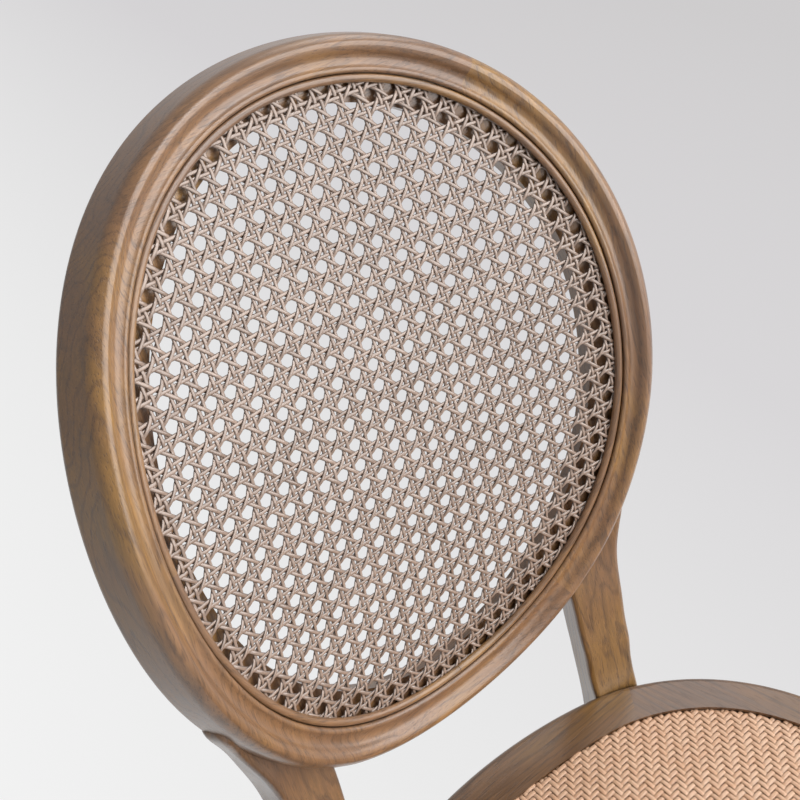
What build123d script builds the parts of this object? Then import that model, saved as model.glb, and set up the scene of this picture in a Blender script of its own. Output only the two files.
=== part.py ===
from build123d import *
import os
from math import atan, atan2, cos, degrees, radians, sin, sqrt

os.makedirs("parts", exist_ok=True)

# Medallion-back dining chair. +Z is up, the sitter faces -Y, and X runs across the chair.
# The origin is on the floor, under the middle of the chair's overall box.
# Left is the -X side. Lengths are millimetres, angles are degrees.

# Driving dimensions of the back
SEAT_REAR_Y = 142.4
SEAT_HEIGHT = 466.0
BACK_LEAN = 15.0
BACK_CENTRE_Y = SEAT_REAR_Y + 59.5
BACK_CENTRE_Z = SEAT_HEIGHT + 307.3
BACK_BEND_RADIUS = 356.0
OVAL_HALF_WIDTH = 178.5
OVAL_HALF_HEIGHT = 212.7
OVAL_EGG = 0.0293
OVAL_FULLNESS = 0.0174

# Cross-section of the back frame: u is outward from the bead groove, w is towards the rear
FRAME_DEPTH = 29.5
RABBET_W = 6.0
LEDGE_REAR_W = 16.0
RIDGE = ((1.8, -1.8), (3.9, -0.9))
COVE = ((7.9, 0.9), (12.2, -0.9))
CREST = ((14.2, -2.35), (16.6, -3.0))
ROUND_OVER = ((18.32, -2.66), (19.78, -1.68))
SHOULDER = ((22.46, 2.33), (23.4, 7.1))
SIDE_REAR_U = 23.5
REAR_ROUND = 3.0
REAR_INNER_U = -4.0
BOTTOM_SWELL = 3.5

# Opening inside the ledge that backs the cane: an ellipse cut straight through
OPENING_HALF_WIDTH = 161.5
OPENING_HALF_HEIGHT = 196.0
BEAD_INNER_U = -5.8
BEAD_OUTER_U = -0.35
BEAD_SHOULDER_W = 0.5
BEAD_TOP_W = -1.5
BEAD_REAR_W = 1.6
CANE_FRONT_W = 3.2
CANE_THICKNESS = 1.4
CANE_EDGE_U = -0.9
CANE_BOW = 20.7
CANE_GRID_PITCH = 28.0
CANE_OPENING = 17.0
CANE_GRID_TURN = -2.8
CANE_GRID_MIDDLE = (-5.3, 9.1)
CANE_BORDER = 8.0
FRAME_JOINTS = (-60.0, 52.0, 128.0, 240.0, 300.0)
DEGREES_PER_STATION = 10.0
BEAD_STATIONS = 49
BEAD_GAP_ANGLE = 0.05

# Seat outlines as tangent arcs, from the middle of the rear edge round to the middle of the front
RIM_OUTER = ((390.0, 177.5, 900.0, 100.0), (14.5, 82.0, 92.0, 163.0), SEAT_REAR_Y)
RIM_INNER = ((480.0, 139.0, 900.0, 72.0), (10.8, 82.0, 91.0, 163.0), SEAT_REAR_Y - 37.5)
SEAT_MIDDLE = Vector(0, SEAT_REAR_Y - 217.7, 0)
RIM_THICKNESS = 24.0
RIM_ROUND = 6.0
RIM_LOWER_ROUND = 3.0
RIM_REAR_JOINT = 35.4
APRON_INSET = 6.0
APRON_THICKNESS = 22.0
APRON_HEIGHT = 50.0
APRON_REAR_JOINT = 54.0
FRONT_LEG_TURN = 126.0

# Drop-in seat: board, thin pad and woven sheet, one on another inside the rim
BOARD_CLEARANCE = 1.0
BOARD_THICKNESS = 9.0
PAD_CLEARANCE = 1.5
PAD_EDGE_THICKNESS = 11.0
WEAVE_CLEARANCE = 0.5
WEAVE_THICKNESS = 3.0
SOFT_GAP = 0.3
SEAT_DOME_RADIUS = 4000.0
SEAT_DOME_DROP = 4.6

# Top of the post, in the frame of the back: height, inner edge, outer edge, setback of its front, thickness
POST_STATIONS = (
    (-112.0, 148.0, 175.0, 17.0, 13.2),
    (-130.0, 137.0, 169.5, 17.0, 14.5),
    (-150.0, 125.0, 162.0, 17.0, 18.0),
    (-172.0, 110.2, 154.5, 17.0, 23.0),
)
# Leg and open part of the post: height, x and distance behind the seat's rear edge of its middle, width, depth, yaw
LEG_STATIONS = (
    (4.0, 141.5, 70.0, 26.0, 26.0, 12.0),
    (140.0, 137.5, 26.0, 29.0, 29.0, 13.0),
    (280.0, 133.5, -5.0, 32.5, 32.5, 14.0),
    (380.0, 131.5, -15.5, 34.5, 35.0, 15.0),
    (430.0, 131.0, -15.5, 35.5, 36.0, 15.0),
    (474.0, 131.4, -7.0, 37.5, 28.0, 15.0),
    (494.9, 132.0, -2.5, 38.8, 28.0, 15.0),
    (539.0, 133.3, 6.6, 41.5, 28.0, 15.0),
    (578.5, 135.3, 15.3, 45.5, 28.0, 15.0),
)
LEG_ROUND = 4.0
LEG_SECTIONS = 26

# Front leg, turned below its square block
FRONT_LEG_BLOCK = 42.0
FRONT_LEG_INSET = 4.0
BLOCK_BOTTOM = 378.0
NECK_RADIUS = 16.0
TAPER_TOP_RADIUS = 18.5
FOOT_RADIUS = 11.5

# Feet and fasteners
GLIDE_HEIGHT = 4.0
GLIDE_RADIUS = 9.0
DOWEL_RADIUS = 4.0
DOWEL_LENGTH = 32.0
LEG_DOWEL_LENGTH = 24.0
BOLT = (3.0, 40.0, 6.5, 4.0)
SCREW = (2.0, 34.0, 4.0, 2.5)
CORNER_BLOCK_HEIGHT = 30.0
REAR_BLOCK = (APRON_REAR_JOINT, 30.0, 48.0)
FRONT_BLOCK = (FRONT_LEG_TURN, 42.0, 60.0)

RIM_BOTTOM = SEAT_HEIGHT - RIM_THICKNESS
APRON_BOTTOM = RIM_BOTTOM - APRON_HEIGHT
APRON_INNER = APRON_INSET + APRON_THICKNESS
RAIL_HEIGHTS = (APRON_BOTTOM + 13.0, APRON_BOTTOM + 37.0)
BOARD_TOP = RIM_BOTTOM + BOARD_THICKNESS
PAD_EDGE_TOP = BOARD_TOP + PAD_EDGE_THICKNESS
REAR_TURN = 20.0

BACK = Plane(
    origin=(0, BACK_CENTRE_Y, BACK_CENTRE_Z),
    x_dir=(1, 0, 0),
    z_dir=(0, sin(radians(BACK_LEAN)), cos(radians(BACK_LEAN))),
)


def bend(x):
    """Depth of the bent back surface at a distance x from the middle."""
    return -x * x / (2 * BACK_BEND_RADIUS)


def oval_point(turn):
    """Point of the bead groove line: a full, slightly egg-shaped oval, bent round the sitter."""
    c = cos(radians(turn))
    s = sin(radians(turn))
    full = 1 + OVAL_FULLNESS * (1 - cos(4 * radians(turn))) / 2
    x = OVAL_HALF_WIDTH * c * full * (1 + OVAL_EGG * s)
    return Vector(x, bend(x), OVAL_HALF_HEIGHT * s * full)


def section_plane(turn):
    """Plane square to the oval: local x points outward and local y to the rear."""
    point = oval_point(turn)
    along = (oval_point(turn + 0.05) - oval_point(turn - 0.05)).normalized()
    rear = Vector(point.X / BACK_BEND_RADIUS, 1, 0).normalized()
    outward = rear.cross(along).normalized()
    return Plane(origin=point, x_dir=outward, z_dir=outward.cross(rear))


def section_wire(plane, start, steps):
    """Closed wire in a plane: a step of one point is a line, a step of two points is an arc."""
    edges = []
    here = plane.from_local_coords(Vector(*start, 0))
    for step in steps:
        points = [plane.from_local_coords(Vector(*pair, 0)) for pair in step]
        if len(points) == 1:
            edges.append(Edge.make_line(here, points[0]))
        else:
            edges.append(Edge.make_three_point_arc(here, *points))
        here = points[-1]
    return Wire(edges)


def swell(turn):
    """Extra width of the frame towards its outer side, along the bottom of the oval."""
    t = min(max((62 - abs(turn % 360 - 270)) / 34, 0), 1)
    return BOTTOM_SWELL * t * t * (3 - 2 * t)


def opening_u(plane, w):
    """Where a depth w of a section meets the straight-cut opening inside the ledge."""
    inner = -45.0
    outer = 0.0
    for _ in range(30):
        u = (inner + outer) / 2
        point = plane.from_local_coords(Vector(u, w, 0))
        rise = point.Z / OPENING_HALF_HEIGHT
        across = point.X / (OPENING_HALF_WIDTH * (1 + OVAL_EGG * rise))
        if across * across + rise * rise > 1:
            outer = u
        else:
            inner = u
    return u


def frame_section(turn):
    """Moulded section: ledge, inner ridge, cove, high crest, round shoulder and a nearly flat side."""
    plane = section_plane(turn)
    wide = swell(turn)

    def out(pair):
        share = max(pair[0], 0) / SIDE_REAR_U
        return (pair[0] + wide * share, pair[1])

    dip = REAR_ROUND * (1 - 1 / sqrt(2))
    side = SIDE_REAR_U + wide
    steps = [
        ((0.0, 0.0),),
        (out(RIDGE[0]), out(RIDGE[1])),
        (out(COVE[0]), out(COVE[1])),
        (out(CREST[0]), out(CREST[1])),
        (out(ROUND_OVER[0]), out(ROUND_OVER[1])),
        (out(SHOULDER[0]), out(SHOULDER[1])),
        ((side, FRAME_DEPTH - REAR_ROUND),),
        ((side - dip, FRAME_DEPTH - dip), (side - REAR_ROUND, FRAME_DEPTH)),
        ((REAR_INNER_U, FRAME_DEPTH),),
        ((opening_u(plane, LEDGE_REAR_W), LEDGE_REAR_W),),
        ((opening_u(plane, RABBET_W), RABBET_W),),
        ((0.0, RABBET_W),),
    ]
    return section_wire(plane, (0.0, RABBET_W), steps)


def frame_segment(first, last):
    """One glued-up piece of the back frame between two joint angles."""
    count = round((last - first) / DEGREES_PER_STATION)
    wires = [frame_section(first + (last - first) * i / count) for i in range(count + 1)]
    return Solid.make_loft(wires).moved(BACK.location)


def bead_section(turn):
    """Half-round bead that clamps the cane in the rabbet."""
    middle = (BEAD_INNER_U + BEAD_OUTER_U) / 2
    steps = [
        ((BEAD_INNER_U, BEAD_SHOULDER_W),),
        ((middle, BEAD_TOP_W), (BEAD_OUTER_U, BEAD_SHOULDER_W)),
        ((BEAD_OUTER_U, BEAD_REAR_W),),
        ((BEAD_INNER_U, BEAD_REAR_W),),
    ]
    return section_wire(section_plane(turn), (BEAD_INNER_U, BEAD_REAR_W), steps)


def bead_hoop():
    """The bead is one bent strip whose ends butt at the bottom of the oval."""
    first = -90 + BEAD_GAP_ANGLE
    step = (360 - 2 * BEAD_GAP_ANGLE) / (BEAD_STATIONS - 1)
    wires = [bead_section(first + step * i) for i in range(BEAD_STATIONS)]
    return Solid.make_loft(wires).moved(BACK.location)


def cane_depth(x, z):
    """Front of the stretched cane: a saddle from its bowed middle to the curved rabbet."""
    side = bend(OVAL_HALF_WIDTH) + CANE_FRONT_W
    across = (side + CANE_BOW) * (x / OVAL_HALF_WIDTH) ** 2
    upright = (CANE_FRONT_W + CANE_BOW) * (z / OVAL_HALF_HEIGHT) ** 2
    return across + upright - CANE_BOW


def cane_strip(x, half_height):
    """Upright slice through the cane sheet at a distance x from the middle."""
    heights = [half_height * step / 6 for step in range(-6, 7)]
    front = [Vector(x, cane_depth(x, z), z) for z in heights]
    rear = [point + Vector(0, CANE_THICKNESS, 0) for point in front]
    return Wire([
        Edge.make_spline(front),
        Edge.make_line(front[-1], rear[-1]),
        Edge.make_spline(rear[::-1]),
        Edge.make_line(rear[0], front[0]),
    ])


def cane_openings(depth):
    """Square openings of a plain grid, at twice the pitch of the woven holes, as wires at one depth."""
    across = Vector(cos(radians(CANE_GRID_TURN)), 0, sin(radians(CANE_GRID_TURN)))
    upright = Vector(-across.Z, 0, across.X)
    middle = Vector(CANE_GRID_MIDDLE[0], depth, CANE_GRID_MIDDLE[1])
    half = CANE_OPENING / 2
    wires = []
    for column in range(-7, 8):
        for row in range(-8, 9):
            centre = middle + across * (CANE_GRID_PITCH * column) + upright * (CANE_GRID_PITCH * row)
            corners = [centre + across * a + upright * b for a, b in ((-half, -half), (half, -half), (half, half), (-half, half))]
            if all(inside_border(corner) for corner in corners):
                wires.append(Wire.make_polygon(corners, close=True))
    return wires


def inside_border(point):
    """Whether a point of the back lies clear of the cane's plain border."""
    across = point.X / (OVAL_HALF_WIDTH - CANE_BORDER)
    upright = point.Z / (OVAL_HALF_HEIGHT - CANE_BORDER)
    return across * across + upright * upright < 1


def cane_panel():
    """The woven cane as one thin saddle-shaped sheet with a plain grid, cut to the outline of the rabbet."""
    half_width = OVAL_HALF_WIDTH + 5
    sheet = Solid.make_loft([cane_strip(half_width * step / 6, OVAL_HALF_HEIGHT + 5) for step in range(-6, 7)])
    outline = []
    for turn in range(0, 360, 6):
        point = section_plane(turn).from_local_coords(Vector(CANE_EDGE_U, 0, 0))
        outline.append(Vector(point.X, -90, point.Z))
    edge = Edge.make_spline(outline, periodic=True)
    cutter = Solid.extrude(Face(Wire([edge]), cane_openings(-90)), Vector(0, 180, 0))
    return single(sheet.intersect(cutter)).moved(BACK.location)


def plan_direction(turn):
    """Unit vector in plan, turned clockwise from the rear direction +Y."""
    return Vector(sin(radians(turn)), cos(radians(turn)), 0)


def outline_arcs(outline, inset):
    """Right half of an outline: centre, radius, first turn and last turn of each tangent arc."""
    radii, turns, rear_y = outline
    turns = (0.0,) + turns + (180.0,)
    centre = Vector(0, rear_y - radii[0], 0)
    arcs = [(centre, radii[0] - inset, turns[0], turns[1])]
    for i in range(1, len(radii)):
        centre = centre + plan_direction(turns[i]) * (radii[i - 1] - radii[i])
        arcs.append((centre, radii[i] - inset, turns[i], turns[i + 1]))
    front_radius = radii[-1] + centre.X / sin(radians(turns[-2]))
    centre = centre + plan_direction(turns[-2]) * (radii[-1] - front_radius)
    arcs.append((centre, front_radius - inset, turns[-2], turns[-1]))
    return arcs


def outline_solid(outline, inset, bottom, top):
    """A solid of an outline, drawn in by an inset, between two heights."""
    lift = Vector(0, 0, bottom)
    right = []
    for centre, radius, first, last in outline_arcs(outline, inset):
        points = [centre + plan_direction(t) * radius + lift for t in (first, (first + last) / 2, last)]
        right.append(Edge.make_three_point_arc(*points))
    left = [edge.mirror(Plane.YZ) for edge in right]
    return Solid.extrude(Face(Wire(right + left)), Vector(0, 0, top - bottom))


def wedge(first, last):
    """Tall sector about the seat's middle, between two plan angles."""
    corners = [SEAT_MIDDLE]
    for i in range(5):
        corners.append(SEAT_MIDDLE + plan_direction(first + (last - first) * i / 4) * 900)
    return Solid.extrude(Face(Wire.make_polygon(corners, close=True)), Vector(0, 0, SEAT_HEIGHT + 50))


def reach_to(turn, inset):
    """Distance from the seat's middle to the rim's outer outline, less an inset, at a plan angle."""
    ray = plan_direction(turn)
    for centre, radius, first, last in outline_arcs(RIM_OUTER, inset):
        gap = centre - SEAT_MIDDLE
        along = gap.dot(ray)
        reach = along + sqrt(max(along * along - gap.dot(gap) + radius * radius, 0))
        hit = SEAT_MIDDLE + ray * reach - centre
        if first - 0.01 <= degrees(atan2(hit.X, hit.Y)) <= last + 0.01:
            return reach
    raise ValueError("no outline at this plan angle")


def seat_point(turn, inset, height, across=0.0):
    """Point at an inset from the rim's edge, then shifted sideways, at a height."""
    level = SEAT_MIDDLE + plan_direction(turn) * reach_to(turn, inset)
    return level + plan_direction(turn + 90) * across + Vector(0, 0, height)


def seat_rim():
    """The whole flat-topped rim before it is parted into its glued segments."""
    body = outline_solid(RIM_OUTER, 0, RIM_BOTTOM, SEAT_HEIGHT)
    top = body.edges().filter_by_position(Axis.Z, SEAT_HEIGHT - 0.1, SEAT_HEIGHT + 0.1)
    body = body.fillet(RIM_ROUND, top)
    bottom = body.edges().filter_by_position(Axis.Z, RIM_BOTTOM - 0.1, RIM_BOTTOM + 0.1)
    body = body.fillet(RIM_LOWER_ROUND, bottom)
    return single(body.cut(outline_solid(RIM_INNER, 0, RIM_BOTTOM - 1, SEAT_HEIGHT + 1)))


def apron_ring():
    """The curved rails under the rim, before they are parted."""
    outer = outline_solid(RIM_OUTER, APRON_INSET, APRON_BOTTOM, RIM_BOTTOM)
    return single(outer.cut(outline_solid(RIM_OUTER, APRON_INNER, APRON_BOTTOM - 1, RIM_BOTTOM + 1)))


def dome(edge_height):
    """Large ball whose top crowns a seat layer above its height at the rim."""
    top = edge_height + SEAT_DOME_DROP
    return Solid.make_sphere(SEAT_DOME_RADIUS, Plane(origin=SEAT_MIDDLE + Vector(0, 0, top - SEAT_DOME_RADIUS)))


def seat_pad():
    """Thin wadding between the board and the woven sheet."""
    body = outline_solid(RIM_INNER, PAD_CLEARANCE, BOARD_TOP + SOFT_GAP, SEAT_HEIGHT + 20)
    return single(body.intersect(dome(PAD_EDGE_TOP)))


def seat_weave():
    """The woven sheet over the pad, level with the rim at its edge."""
    lower = PAD_EDGE_TOP + SOFT_GAP
    body = outline_solid(RIM_INNER, WEAVE_CLEARANCE, BOARD_TOP, SEAT_HEIGHT + 20)
    crowned = body.intersect(dome(lower + WEAVE_THICKNESS))
    return single(single(crowned).cut(dome(lower)))


def rounded_section(plane, width, depth):
    """Rounded rectangle centred in a plane: width along local x and depth along local y."""
    x = width / 2
    y = depth / 2
    r = LEG_ROUND
    dip = r * (1 - 1 / sqrt(2))
    steps = [
        ((x - r, -y),),
        ((x - dip, -y + dip), (x, -y + r)),
        ((x, y - r),),
        ((x - dip, y - dip), (x - r, y)),
        ((-x + r, y),),
        ((-x + dip, y - dip), (-x, y - r)),
        ((-x, -y + r),),
        ((-x + dip, -y + dip), (-x + r, -y)),
    ]
    return section_wire(plane, (-x + r, -y), steps)


def post_row(height, inner_x, outer_x, setback, thickness):
    """A post station, which follows the bent back, given as a level leg station."""
    x = (inner_x + outer_x) / 2
    yaw = atan(x / BACK_BEND_RADIUS)
    rear = Vector(sin(yaw), cos(yaw), 0)
    middle = BACK.from_local_coords(Vector(x, bend(x), height) + rear * (setback + thickness / 2))
    width = (outer_x - inner_x) / cos(yaw)
    depth = thickness / cos(radians(BACK_LEAN))
    return (middle.Z, middle.X, middle.Y - SEAT_REAR_Y, width, depth, degrees(yaw))


def slope_at(rows, index, column):
    """Rate of change of a column with height at a station."""
    below = rows[max(index - 1, 0)]
    above = rows[min(index + 1, len(rows) - 1)]
    return (above[column] - below[column]) / (above[0] - below[0])


def row_at(rows, height):
    """Station at any height, on smooth curves through the given stations."""
    index = max(i for i in range(len(rows) - 1) if rows[i][0] <= height + 0.001)
    low = rows[index]
    high = rows[index + 1]
    span = high[0] - low[0]
    t = (height - low[0]) / span
    row = [height]
    for column in range(1, len(low)):
        start = (1 + 2 * t) * (1 - t) ** 2 * low[column] + t * t * (3 - 2 * t) * high[column]
        leave = t * (1 - t) ** 2 * span * slope_at(rows, index, column)
        arrive = t * t * (t - 1) * span * slope_at(rows, index + 1, column)
        row.append(start + leave + arrive)
    return row


def leg_section(height, x, behind, width, depth, yaw):
    """Level section of the leg."""
    x_dir = (cos(radians(yaw)), -sin(radians(yaw)), 0)
    plane = Plane(origin=(x, SEAT_REAR_Y + behind, height), x_dir=x_dir, z_dir=(0, 0, 1))
    return rounded_section(plane, width, depth)


def rear_leg_blank():
    """The right rear leg and post as one bent timber, before it is fitted to frame and seat."""
    rows = sorted(LEG_STATIONS + tuple(post_row(*station) for station in POST_STATIONS))
    foot = rows[0][0]
    rise = (rows[-1][0] - foot) / LEG_SECTIONS
    wires = [leg_section(*row_at(rows, foot + rise * i)) for i in range(LEG_SECTIONS + 1)]
    return Solid.make_loft(wires)


def front_leg():
    """The right front leg: turned and tapered under a square block, in one piece."""
    profile = [
        (0, GLIDE_HEIGHT),
        (FOOT_RADIUS, GLIDE_HEIGHT),
        (FOOT_RADIUS + 1.5, GLIDE_HEIGHT + 16),
        (TAPER_TOP_RADIUS, BLOCK_BOTTOM - 42),
        (NECK_RADIUS, BLOCK_BOTTOM - 33),
        (NECK_RADIUS, BLOCK_BOTTOM - 29),
        (TAPER_TOP_RADIUS + 2, BLOCK_BOTTOM - 24),
        (TAPER_TOP_RADIUS + 2, BLOCK_BOTTOM - 17),
        (NECK_RADIUS, BLOCK_BOTTOM - 11),
        (NECK_RADIUS, BLOCK_BOTTOM - 5),
        (TAPER_TOP_RADIUS, BLOCK_BOTTOM + 2),
        (0, BLOCK_BOTTOM + 2),
    ]
    face = Face(Wire.make_polygon([Vector(r, 0, z) for r, z in profile], close=True))
    turned = Solid.revolve(face, 360, Axis.Z)
    half = FRONT_LEG_BLOCK / 2
    plane = Plane(origin=(-half, -half, BLOCK_BOTTOM), z_dir=(0, 0, 1))
    block = Solid.make_box(FRONT_LEG_BLOCK, FRONT_LEG_BLOCK, RIM_BOTTOM - BLOCK_BOTTOM, plane)
    block = block.fillet(3.0, block.edges().filter_by(Axis.Z))
    leg = single(turned.fuse(block).clean())
    place = seat_point(FRONT_LEG_TURN, FRONT_LEG_INSET + half, 0)
    return leg.rotate(Axis.Z, 90 - FRONT_LEG_TURN).translate(place)


def peg(start, direction, radius, length):
    """A round peg from a start point along a direction."""
    return Solid.make_cylinder(radius, length, Plane(origin=start, z_dir=direction))


def headed_pin(start, direction, sizes):
    """A bolt or screw: its head starts at a point and its shank runs along a direction."""
    radius, length, head_radius, head_height = sizes
    head = peg(start, direction, head_radius, head_height)
    shank = peg(start + direction.normalized() * (head_height - 0.5), direction, radius, length)
    return single(head.fuse(shank))


def mirrored(solids):
    """The same solids on both sides of the chair."""
    return solids + [solid.mirror(Plane.YZ) for solid in solids]


def frame_dowels():
    """Two dowels across each glued joint of the back frame."""
    pegs = []
    for turn in FRAME_JOINTS[:4]:
        plane = section_plane(turn)
        for u in (2.0, 14.0):
            start = plane.from_local_coords(Vector(u, 17.0, -DOWEL_LENGTH / 2))
            pegs.append(peg(start, plane.z_dir, DOWEL_RADIUS, DOWEL_LENGTH).moved(BACK.location))
    return pegs


def post_dowels():
    """Two dowels from each post up into the back frame."""
    pegs = []
    for x, height in ((130.5, -200.0), (147.0, -189.0)):
        start = Vector(x, bend(x) + 26.0, height)
        pegs.append(peg(start, Vector(-0.08, 0, 1), DOWEL_RADIUS, DOWEL_LENGTH).moved(BACK.location))
    return mirrored(pegs)


def cross_dowels(turn, places):
    """Level dowels across a joint of the seat, at insets and heights, on both sides."""
    across = plan_direction(turn + 90)
    pegs = []
    for inset, height in places:
        start = seat_point(turn, inset, height, -DOWEL_LENGTH / 2)
        pegs.append(peg(start, across, DOWEL_RADIUS, DOWEL_LENGTH))
    return mirrored(pegs)


def front_leg_dowels():
    """Dowels from each front leg block into the front and side rails, one above the other."""
    pegs = []
    for side in (-1, 1):
        across = plan_direction(FRONT_LEG_TURN + 90 * side)
        for height in RAIL_HEIGHTS:
            start = seat_point(FRONT_LEG_TURN, 22.0, height) + across * 12
            pegs.append(peg(start, across, DOWEL_RADIUS, LEG_DOWEL_LENGTH))
    return mirrored(pegs)


def leg_bolts():
    """Two bolts from inside the rear rail into each rear leg, one above the other."""
    direction = plan_direction(REAR_TURN)
    bolts = []
    for height in RAIL_HEIGHTS:
        start = seat_point(RIM_REAR_JOINT, APRON_INNER, height) - direction * BOLT[3]
        bolts.append(headed_pin(start, direction, BOLT))
    return mirrored(bolts)


def corner_block(turn, depth, half_width):
    """A brace in a corner of the rails, with a straight inner face."""
    inside = outline_solid(RIM_OUTER, APRON_INNER, RIM_BOTTOM - CORNER_BLOCK_HEIGHT, RIM_BOTTOM)
    out = plan_direction(turn)
    across = plan_direction(turn + 90)
    face_middle = seat_point(turn, APRON_INNER, 0) - out * depth
    corners = [
        face_middle - across * half_width,
        face_middle + across * half_width,
        face_middle + across * half_width + out * 200,
        face_middle - across * half_width + out * 200,
    ]
    prism = Solid.extrude(Face(Wire.make_polygon(corners, close=True)), Vector(0, 0, SEAT_HEIGHT))
    return single(inside.intersect(prism))


def block_screws(turn, depth, spread):
    """Two level screws through a corner block into the rails, on both sides."""
    out = plan_direction(turn)
    height = RIM_BOTTOM - CORNER_BLOCK_HEIGHT / 2
    screws = []
    for across in (-spread, spread):
        start = seat_point(turn, APRON_INNER, height, across) - out * depth
        screws.append(headed_pin(start, out, SCREW))
    return mirrored(screws)


def board_screws(turn, depth):
    """One screw up through each corner block into the seat board, on both sides."""
    start = seat_point(turn, APRON_INNER, RIM_BOTTOM - CORNER_BLOCK_HEIGHT) - plan_direction(turn) * depth
    return mirrored([headed_pin(start, Vector(0, 0, 1), SCREW)])


def glide(x, y):
    """Round foot pad with a softened lower edge."""
    disc = Solid.make_cylinder(GLIDE_RADIUS, GLIDE_HEIGHT, Plane(origin=(x, y, 0)))
    return disc.fillet(1.0, disc.edges().filter_by_position(Axis.Z, -0.1, 0.1))


def minus(solid, *groups):
    """A piece with the room cut out for everything that is let into it."""
    return single(solid.cut(*[tool for group in groups for tool in group]))


def single(shape):
    """The one solid that an operation leaves, without stray splinters."""
    return max(shape.solids(), key=lambda solid: solid.volume)


def mirror_pair(nodes, name, solid):
    """Enter a piece and its mirror image."""
    nodes[f"{name}_right"] = [solid]
    nodes[f"{name}_left"] = [solid.mirror(Plane.YZ)]


def build_back(nodes):
    """Oval frame, bead and cane."""
    names = ("back_frame_right", "back_frame_top", "back_frame_left", "back_frame_bottom")
    nodes["back_frame_dowels"] = frame_dowels()
    nodes["post_dowels"] = post_dowels()
    segments = [frame_segment(first, last) for first, last in zip(FRAME_JOINTS, FRAME_JOINTS[1:])]
    for name, segment in zip(names, segments):
        nodes[name] = [minus(segment, nodes["back_frame_dowels"], nodes["post_dowels"])]
    nodes["cane_bead"] = [bead_hoop()]
    nodes["cane_panel"] = [cane_panel()]
    return segments


def build_rim(nodes):
    """The glued segments of the seat rim."""
    rim = seat_rim()
    level = RIM_BOTTOM + RIM_THICKNESS / 2
    places = [(10.0, level), (21.5, level)]
    pegs = cross_dowels(RIM_REAR_JOINT, places) + cross_dowels(FRONT_LEG_TURN, places)
    turns = (-RIM_REAR_JOINT, RIM_REAR_JOINT, FRONT_LEG_TURN, 360 - FRONT_LEG_TURN, 360 - RIM_REAR_JOINT)
    for name, first, last in zip(("rear", "right", "front", "left"), turns, turns[1:]):
        nodes[f"seat_rim_{name}"] = [minus(single(rim.intersect(wedge(first, last))), pegs)]
    nodes["seat_rim_dowels"] = pegs
    return rim


def build_under_frame(nodes, segments, rim):
    """Legs, rails, corner blocks and what joins them."""
    aprons = apron_ring()
    leg = front_leg()
    legs = mirrored([leg])
    bolts = leg_bolts()
    rear_screws = block_screws(REAR_BLOCK[0], REAR_BLOCK[1], 27.0)
    screws = rear_screws + block_screws(FRONT_BLOCK[0], FRONT_BLOCK[1], 45.0)
    board_pins = board_screws(REAR_BLOCK[0], 15.0) + board_screws(FRONT_BLOCK[0], 31.0)
    middle = APRON_INSET + APRON_THICKNESS / 2
    pegs = cross_dowels(APRON_REAR_JOINT, [(middle, height) for height in RAIL_HEIGHTS])
    leg_pegs = front_leg_dowels()

    rear_leg = minus(rear_leg_blank(), segments, [rim, aprons], bolts, nodes["post_dowels"])
    mirror_pair(nodes, "rear_leg", rear_leg)
    mirror_pair(nodes, "front_leg", minus(leg, leg_pegs))
    turns = (-APRON_REAR_JOINT, APRON_REAR_JOINT, FRONT_LEG_TURN, 360 - FRONT_LEG_TURN, 360 - APRON_REAR_JOINT)
    for name, first, last in zip(("rear", "right", "front", "left"), turns, turns[1:]):
        rail = single(aprons.intersect(wedge(first, last)))
        nodes[f"apron_{name}"] = [minus(rail, legs, bolts, screws, pegs, leg_pegs)]
    for place, sizes in (("rear", REAR_BLOCK), ("front", FRONT_BLOCK)):
        mirror_pair(nodes, f"corner_block_{place}", minus(corner_block(*sizes), legs, screws, board_pins))
    board = outline_solid(RIM_INNER, BOARD_CLEARANCE, RIM_BOTTOM, BOARD_TOP)
    nodes["seat_board"] = [minus(board, board_pins)]
    nodes["apron_dowels"] = pegs
    nodes["front_leg_dowels"] = leg_pegs
    nodes["rear_leg_bolts"] = bolts
    nodes["corner_block_screws"] = screws
    nodes["seat_board_screws"] = board_pins


def build_glides(nodes):
    """A pad under each foot."""
    foot = LEG_STATIONS[0]
    mirror_pair(nodes, "glide_rear", glide(foot[1], SEAT_REAR_Y + foot[2]))
    place = seat_point(FRONT_LEG_TURN, FRONT_LEG_INSET + FRONT_LEG_BLOCK / 2, 0)
    mirror_pair(nodes, "glide_front", glide(place.X, place.Y))


def build():
    """All nodes of the chair by name, as lists of solids."""
    nodes = {}
    segments = build_back(nodes)
    rim = build_rim(nodes)
    build_under_frame(nodes, segments, rim)
    nodes["seat_pad"] = [seat_pad()]
    nodes["seat_weave"] = [seat_weave()]
    build_glides(nodes)
    return nodes


for node_name, solids in build().items():
    shape = solids[0] if len(solids) == 1 else Compound(solids)
    export_step(shape, f"parts/{node_name}.step")
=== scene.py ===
from math import cos, pi, radians, sin

import bpy
import numpy as np
from mathutils import Matrix, Vector

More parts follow.
